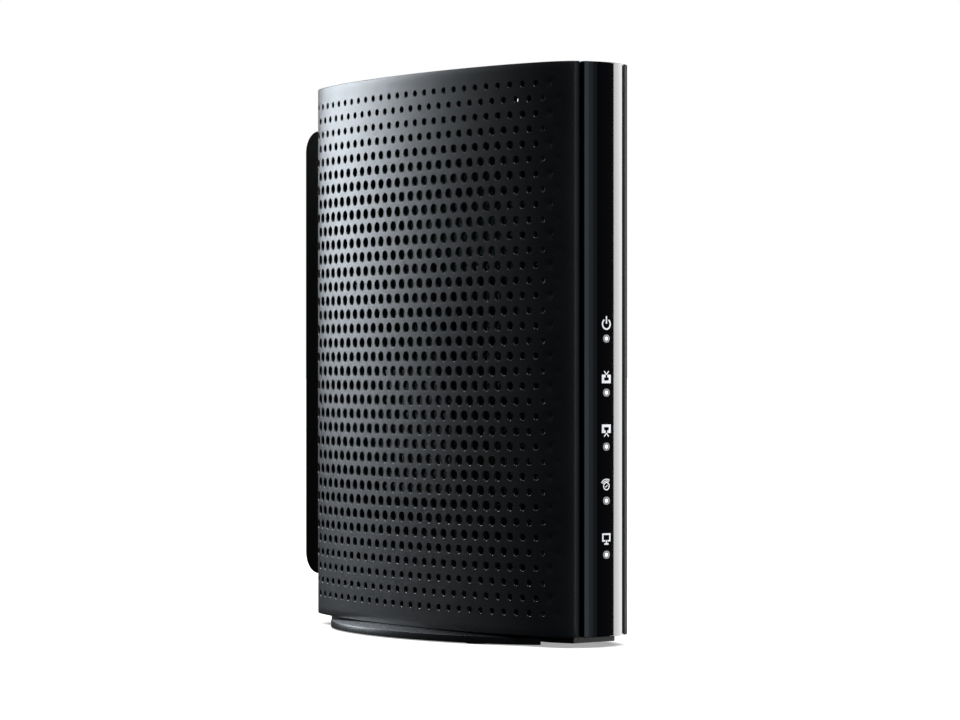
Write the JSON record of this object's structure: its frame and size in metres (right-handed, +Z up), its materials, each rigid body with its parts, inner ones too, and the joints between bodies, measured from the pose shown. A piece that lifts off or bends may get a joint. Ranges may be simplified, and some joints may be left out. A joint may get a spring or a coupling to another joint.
{
  "type": "cable modem",
  "caption": "Slim upright cable modem: lens-shaped black body with perforated sides, gloss front strip with status lights, rear ports and a low two-winged stand.",
  "frame": {"origin": "centre of the footprint, on the surface the modem stands on", "axes": "-Y is the front with the status lights, +Y the ports, +Z up"},
  "size_m": [0.0616, 0.1554, 0.1854],
  "materials": {
    "panel": "satin fine grain",
    "cap": "satin",
    "frame": "fine moulded texture",
    "strip": "polished gloss",
    "guide": "clear",
    "housing": "satin gloss",
    "plate": "fine moulded texture",
    "stand": "gloss",
    "foot": "matt",
    "screw": "zinc plated",
    "board": "solder mask",
    "led": "clear resin",
    "chip": "moulded epoxy",
    "pad": "soft silicone",
    "sink": "anodised",
    "can": "tinned",
    "capacitor": "printed sleeve, blank",
    "ferrite": "sintered",
    "jack_metal": "nickel",
    "gold": "gold plated",
    "coax_metal": "nickel plated brass",
    "insulator": "moulded",
    "jack_plastic": "moulded",
    "button": "moulded"
  },
  "bodies": {
    "modem": {"left_panel": "panel", "right_panel": "panel", "top_cap": "cap", "bottom_cover": "frame", "centre_frame": "frame", "front_strip": "strip", "light_guides": "guide", "rear_housing": "housing", "port_plate": "plate", "housing_screws": "screw", "stand": "stand", "stand_screws": "screw", "rubber_feet": "foot", "main_board": "board", "board_screws": "screw", "status_lights": "led", "processor": "chip", "thermal_pad": "pad", "heat_sink": "sink", "memory_chips": "chip", "flash_chip": "chip", "shield_can": "can", "tuner_chip": "chip", "capacitors": "capacitor", "inductors": "ferrite", "ethernet_transformer": "chip", "ethernet_socket": "jack_metal", "ethernet_contacts": "gold", "coax_connector": "coax_metal", "coax_nut": "jack_metal", "coax_insulator": "insulator", "coax_contact": "gold", "power_socket": "jack_plastic", "power_pin": "jack_metal", "reset_switch": "jack_plastic"},
    "reset": {"reset_button": "button"}
  },
  "joints": [
    {"name": "reset_press", "type": "slide", "parent": "modem", "child": "reset", "axis": [0, -1, 0], "range_m": [0, 0.0005], "stiffness_N_per_m": 2000}
  ]
}
